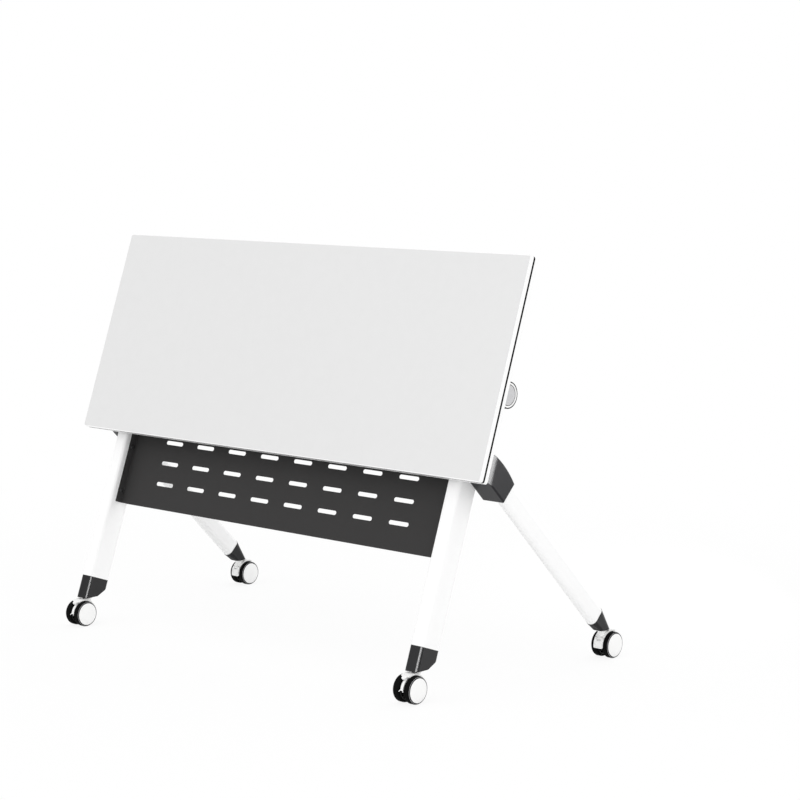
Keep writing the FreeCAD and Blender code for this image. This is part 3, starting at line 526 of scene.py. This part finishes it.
def end_caps():
    """The beam's ends: a turned face, a pale rim round it, and dark rings of painted shade inside and
    outside the rim.
    """
    for side, sign in SIDES.items():
        node = "beam_end_cap_" + side
        low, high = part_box(node)
        outside = abs(high.x if sign > 0 else low.x)
        back = outside - CAP_DEPTH
        front = outside - CAP_FACE_DROP
        face = [(back, 0), (back, CAP_FACE), (front - CAP_EDGE, CAP_FACE)]
        face += [(front, CAP_FACE - CAP_EDGE), (front, 0)]
        rim = ring_profile(CAP_RIM, back, outside, CAP_EDGE)
        # Both dark rings are painted shade: the inner one darkens the groove between face and rim, and the
        # outer one stands in for the shadow round the cap
        groove_shade = ring_profile((CAP_FACE, CAP_RIM[0]), back, front - GAP_DROP, SHADE_RING_EDGE)
        shadow_ring = ring_profile(CAP_SHADOW_RING, back, front, SHADE_RING_EDGE)
        for word, profiles, slot, nodes in (
            ("face", [face], "cap_silver", [node]),
            ("rim", [rim], "white_nylon", []),
            ("seals", [groove_shade, shadow_ring], "black_rubber", []),
        ):
            name = "end_cap_" + word + "_" + side
            rings = [(BEAM_CENTRE, sign, profile) for profile in profiles]
            piece(name, lathed(name, rings), "frame", slot, nodes)


def wheel_centre(foot):
    """The middle of a caster's axle."""
    return middle_of("caster_axle_" + foot)


def wheel_cap():
    """The profile of a wheel's domed cap."""
    seat, lip, edge, crown = WHEEL_CAP_X
    plug, rim = WHEEL_CAP_RADII
    shoulder = rim - WHEEL_CAP_ROUND
    rise = edge + (crown - edge) * DOME_RISE
    side = [(seat, 0), (seat, plug), (lip, plug), (lip, rim), (edge, rim)]
    dome = [(edge + WHEEL_CAP_ROUND / 2, shoulder), (rise, shoulder * DOME_MIDDLE)]
    return side + dome + [(crown, shoulder * DOME_FLAT), (crown, 0)]


def tread_highlight_ring():
    """The profile of a thin grey ring on the rounded edge of a tread, which is a painted highlight line."""
    along, radius, rounding = TREAD_ROUND
    turn = math.radians(HIGHLIGHT_RING_TURN)
    x = along + rounding * math.cos(turn)
    out = radius + rounding * math.sin(turn)
    return [(x + HIGHLIGHT_RING_RADIUS * math.cos(a), out + HIGHLIGHT_RING_RADIUS * math.sin(a)) for a in turns(HIGHLIGHT_RING_POINTS)]


def wheel_core():
    """The profile of a wheel's core, hollow between its boss and its rim."""
    inner, web, outer = CORE_X
    hollow, rim = CORE_RIM
    inside = [(inner, CORE_BORE), (inner, CORE_BOSS), (web, CORE_BOSS), (web, hollow)]
    return inside + [(inner, hollow), (inner, rim), (outer, rim), (outer, CORE_BORE)]


def wheel_hubs():
    """White caps, a thin grey ring on each tread that is a painted highlight, and dark cores."""
    for foot in FEET:
        for word, profile, slot, nodes in (
            ("caps", wheel_cap(), "white_nylon", ["caster_hubs_" + foot]),
            # The grey rings are a painted highlight line along the edge of each tread
            ("rings", tread_highlight_ring(), "grey_nylon", []),
            ("cores", wheel_core(), "black_lever", []),
        ):
            name = "wheel_" + word + "_" + foot
            rings = [(wheel_centre(foot), sign, profile) for sign in SIDES.values()]
            piece(name, lathed(name, rings), "wheels_" + foot, slot, nodes)


# Geometry Nodes
def start_tree(name, sizes):
    """A geometry tree with points, named sizes and a finish, and its inputs by name."""
    tree = bpy.data.node_groups.new(name, "GeometryNodeTree")
    tree.interface.new_socket("Points", in_out="INPUT", socket_type="NodeSocketGeometry")
    for size in sizes:
        tree.interface.new_socket(size, in_out="INPUT", socket_type="NodeSocketFloat")
    tree.interface.new_socket("Finish", in_out="INPUT", socket_type="NodeSocketMaterial")
    tree.interface.new_socket("Shape", in_out="OUTPUT", socket_type="NodeSocketGeometry")
    source = tree.nodes.new("NodeGroupInput")
    return {socket.name: Flow(tree, socket) for socket in source.outputs if socket.name}


def end_tree(given, shape):
    """Sets one shape on every point, turned to the point's aim, as plain mesh with its finish."""
    aim = shape.node("GeometryNodeInputNamedAttribute", {"data_type": "FLOAT_VECTOR"}, {"Name": AIM})
    turn = shape.node("FunctionNodeAlignRotationToVector", {"axis": "Z"}, {"Vector": aim})
    sockets = {"Points": given["Points"], "Instance": shape, "Rotation": turn}
    set_out = shape.node("GeometryNodeInstanceOnPoints", {}, sockets)
    real = shape.node("GeometryNodeRealizeInstances", {}, {"Geometry": set_out})
    dressed = shape.node("GeometryNodeSetMaterial", {}, {"Geometry": real, "Material": given["Finish"]})
    result = shape.tree.nodes.new("NodeGroupOutput")
    shape.tree.links.new(dressed.output, result.inputs["Shape"])
    return shape.tree


def raised(shape, height):
    """A shape lifted along Z by a size of its tree."""
    lift = shape.node("ShaderNodeCombineXYZ", {}, {"Z": height})
    return shape.node("GeometryNodeTransform", {}, {"Geometry": shape, "Translation": lift})


def screw_tree():
    """A tapered head with a hexagon socket, and the shank below it."""
    given = start_tree("screw", SCREW_SIZES)
    points = given["Points"]
    radius, height, length = given["Head Radius"], given["Head Height"], given["Shank Length"]
    sizes = {"Vertices": HEAD_SIDES, "Radius Bottom": radius}
    sizes |= {"Radius Top": radius * HEAD_TAPER, "Depth": height}
    head = points.node("GeometryNodeMeshCone", {}, sizes)
    # The cutter's middle lies on the top of the head, so it is twice as long as the socket is deep
    cutter_length = height * (2 * SOCKET_SHARE)
    sizes = {"Vertices": SOCKET_SIDES, "Radius": given["Socket Radius"], "Depth": cutter_length}
    hexagon = raised(points.node("GeometryNodeMeshCylinder", {}, sizes), height)
    cut = {"Mesh 1": head, "Mesh 2": hexagon}
    bored = points.node("GeometryNodeMeshBoolean", {"operation": "DIFFERENCE", "solver": "EXACT"}, cut)
    sizes = {"Vertices": SHANK_SIDES, "Radius": given["Shank Radius"], "Depth": length}
    shank = raised(points.node("GeometryNodeMeshCylinder", {}, sizes), length * -0.5)
    return end_tree(given, points.node("GeometryNodeJoinGeometry", {}, {"Geometry": [bored, shank]}))


def rib_tree():
    """A ring of radial ribs about Z."""
    given = start_tree("rib_ring", ("Count", "Middle Radius", "Length", "Width", "Height"))
    points = given["Points"]
    sides = {"X": given["Length"], "Y": given["Width"], "Z": given["Height"]}
    size = points.node("ShaderNodeCombineXYZ", {}, sides)
    rib = raised(points.node("GeometryNodeMeshCube", {}, {"Size": size}), given["Height"] * 0.5)
    circle = {"Vertices": given["Count"], "Radius": given["Middle Radius"]}
    ring = points.node("GeometryNodeMeshCircle", {}, circle)
    turn = points.node("GeometryNodeInputIndex", {}, {}) * math.tau / given["Count"]
    about = points.node("ShaderNodeCombineXYZ", {}, {"Z": turn})
    sockets = {"Points": ring, "Instance": rib, "Rotation": about}
    return end_tree(given, points.node("GeometryNodeInstanceOnPoints", {}, sockets))


def grown(name, tree, spots, values):
    """The plain mesh that a tree makes on (place, aim) spots."""
    places, aims = zip(*spots)
    mesh = bpy.data.meshes.new(name + "_points")
    mesh.from_pydata(list(places), [], [])
    attribute = mesh.attributes.new(AIM, "FLOAT_VECTOR", "POINT")
    for entry, aim in zip(attribute.data, aims):
        entry.vector = aim
    carrier = bpy.data.objects.new(name + "_points", mesh)
    bpy.context.scene.collection.objects.link(carrier)
    modifier = carrier.modifiers.new(name, "NODES")
    modifier.node_group = tree
    for item in tree.interface.items_tree:
        if item.in_out == "INPUT" and item.name in values:
            modifier[item.identifier] = values[item.name]
    view = bpy.context.evaluated_depsgraph_get()
    made = bpy.data.meshes.new_from_object(carrier.evaluated_get(view))
    made.name = name
    bpy.data.objects.remove(carrier)
    made.set_sharp_from_angle(angle=SHARP_ANGLE)
    return made


def merged(node):
    """A copy of a node's mesh with its triangles joined."""
    shape = bmesh.new()
    shape.from_mesh(frame["nodes"][node].data)
    bmesh.ops.remove_doubles(shape, verts=shape.verts, dist=MERGE_DISTANCE)
    return shape


def islands(node):
    """The separate solids of a node, each as a list of its points."""
    shape = merged(node)
    waiting = set(shape.verts)
    found = []
    while waiting:
        edge = [waiting.pop()]
        points = []
        while edge:
            vertex = edge.pop()
            points.append(vertex.co.copy())
            near = {link.other_vert(vertex) for link in vertex.link_edges} & waiting
            waiting -= near
            edge.extend(near)
        found.append(points)
    shape.free()
    return found


def top_back():
    """The way from the folded top's face to its underside."""
    return -Vector(MOUNTS["work_surface"]["axis"])


def screw_spot(points, sideways, height):
    """The seat of a screw's head and the way that the head looks."""
    middle = sum(points, Vector()) / len(points)
    inwards = Vector((-math.copysign(1.0, middle.x), 0.0, 0.0))
    aim = inwards if sideways else top_back()
    side = aim.orthogonal().normalized()
    third = aim.cross(side)
    seat = aim * (max(point.dot(aim) for point in points) - height)
    for axis in (side, third):
        reach = [point.dot(axis) for point in points]
        seat += axis * (min(reach) + max(reach)) / 2
    return seat, aim


def fasteners():
    """Every kind of screw and bolt, one piece each."""
    tree = screw_tree()
    for node, body, *sizes in FASTENERS:
        slot = SLOTS[node]
        values = dict(zip(SCREW_SIZES, sizes)) | {"Finish": FINISHES[slot]}
        sideways = node in SIDEWAYS_BOLTS
        spots = [screw_spot(points, sideways, values["Head Height"]) for points in islands(node)]
        name = node + "_detail"
        piece(name, grown(name, tree, spots, values), body, slot, [node])


def leaf_springs():
    """The leaf springs, each cut across many times and set in place of its node."""
    across = Vector((1.0, 0.0, 0.0))
    up = across.cross(top_back())
    for side in SIDES:
        node = "leaf_spring_" + side
        shape = merged(node)
        reach = [vertex.co.dot(up) for vertex in shape.verts]
        low, high = min(reach), max(reach)
        for cut in range(1, SPRING_CUTS):
            place = up * (low + (high - low) * cut / SPRING_CUTS)
            parts = shape.verts[:] + shape.edges[:] + shape.faces[:]
            bmesh.ops.bisect_plane(shape, geom=parts, dist=MERGE_DISTANCE, plane_co=place, plane_no=up)
        mesh = bpy.data.meshes.new(node + "_bending")
        shape.to_mesh(mesh)
        shape.free()
        mesh.set_sharp_from_angle(angle=SHARP_ANGLE)
        bend = ("lever_" + side, up * (low + SPRING_FLAT), up * high)
        piece(node + "_bending", mesh, "flip_top", "bright_steel", [node], bend)


def wheel_ribs():
    """Radial ribs inside the wheels' cores."""
    tree = rib_tree()
    inner, outer = CORE_BOSS, CORE_RIM[0]
    start, end = RIB_X
    values = {"Count": RIB_COUNT, "Middle Radius": (inner + outer) / 2, "Length": outer - inner + RIB_WIDTH}
    values |= {"Width": RIB_WIDTH, "Height": end - start, "Finish": FINISHES["black_lever"]}
    for foot in FEET:
        spots = []
        for sign in SIDES.values():
            aim = Vector((float(sign), 0.0, 0.0))
            spots.append((wheel_centre(foot) + aim * start, aim))
        name = "wheel_ribs_" + foot
        piece(name, grown(name, tree, spots, values), "wheels_" + foot, "black_lever")


# Studio
def camera():
    data = bpy.data.cameras.new("camera")
    data.lens = CAMERA_LENS
    data.sensor_width = SENSOR
    data.clip_end = CAMERA_REACH
    eye = bpy.data.objects.new("camera", data)
    azimuth = math.radians(CAMERA_AZIMUTH)
    drop = math.radians(CAMERA_DROP)
    level = math.cos(drop)
    ahead = Vector((-math.sin(azimuth) * level, math.cos(azimuth) * level, -math.sin(drop)))
    eye.location = CAMERA_PLACE
    eye.rotation_euler = ahead.to_track_quat("-Z", "Y").to_euler()
    bpy.context.scene.collection.objects.link(eye)
    bpy.context.scene.camera = eye


def lamp(name, place, size, power, target):
    """A rectangular lamp that looks at its target and isn't seen itself."""
    data = bpy.data.lights.new(name, "AREA")
    data.shape = "RECTANGLE"
    data.size, data.size_y = size
    data.energy = power
    lit = bpy.data.objects.new(name, data)
    lit.location = place
    lit.rotation_euler = (Vector(target) - Vector(place)).to_track_quat("-Z", "Y").to_euler()
    lit.visible_camera = False
    bpy.context.scene.collection.objects.link(lit)
    return lit


def softbox(name, nodes, *settings):
    """A lamp that only puts a highlight on the black nodes that are named."""
    lit = lamp(name, *settings)
    lit.visible_diffuse = False
    group = bpy.data.collections.new(name + "_on")
    for node in nodes:
        group.objects.link(frame["nodes"][node])
    lit.light_linking.receiver_collection = group


def shown_ray(tree):
    """1 for a ray that comes from the eye, a reflection or a clear body, else 0."""
    path = tree.nodes.new("ShaderNodeLightPath")
    seen = Flow(tree, path.outputs["Is Camera Ray"])
    for name in ("Is Glossy Ray", "Is Transmission Ray"):
        seen = seen.maths("MAXIMUM", seen, Flow(tree, path.outputs[name]))
    return seen


def world():
    """White where it is seen, and a little weaker as light on the table."""
    made = bpy.data.worlds.new("studio")
    made.use_nodes = True
    bpy.context.scene.world = made
    tree = made.node_tree
    sky = tree.nodes["Background"]
    sky.inputs["Color"].default_value = BACKDROP_WHITE
    strength = shown_ray(tree) * (1.0 - WORLD_FILL) + WORLD_FILL
    tree.links.new(strength.output, sky.inputs["Strength"])


def floor():
    """A pale floor that fades into the white backdrop and keeps a soft shadow near the table."""
    mesh = bpy.data.meshes.new("floor")
    half = FLOOR_SIZE / 2
    corners = [(-half, -half, 0), (half, -half, 0), (half, half, 0), (-half, half, 0)]
    mesh.from_pydata(corners, [], [(0, 1, 2, 3)])
    plane = bpy.data.objects.new("floor", mesh)
    bpy.context.scene.collection.objects.link(plane)
    white = (FLOOR_WHITE, FLOOR_WHITE, FLOOR_WHITE, 1.0)
    finish = Finish("floor", Base_Color=white, Roughness=FLOOR_ROUGH, Specular_IOR_Level=0.0)
    tree = finish.material.node_tree
    place = finish.place
    glow = place.node("ShaderNodeEmission", {}, {"Color": BACKDROP_WHITE, "Strength": 1.0})
    reach = place.node("ShaderNodeVectorMath", {"operation": "LENGTH"}, {0: place}, "Value")
    fade = {"Value": reach, "From Min": FADE_START, "From Max": FADE_END}
    fade |= {"To Min": FLOOR_SHOW, "To Max": 0.0}
    show = place.node("ShaderNodeMapRange", {"interpolation_type": "SMOOTHSTEP"}, fade)
    paint = Flow(tree, finish.shader.outputs["BSDF"])
    glowing = shown_ray(tree) * (1.0 - show)
    mixed = place.node("ShaderNodeMixShader", {}, {0: glowing, 1: paint, 2: glow})
    tree.links.new(mixed.output, tree.nodes["Material Output"].inputs["Surface"])
    mesh.materials.append(finish.material)


paint_nodes()
end_caps()
wheel_hubs()
wheel_ribs()
fasteners()
leaf_springs()
camera()
for settings in LAMPS:
    lamp(*settings)
for settings in SOFTBOXES:
    softbox(*settings)
world()
floor()
bpy.context.scene.view_settings.view_transform = "Standard"
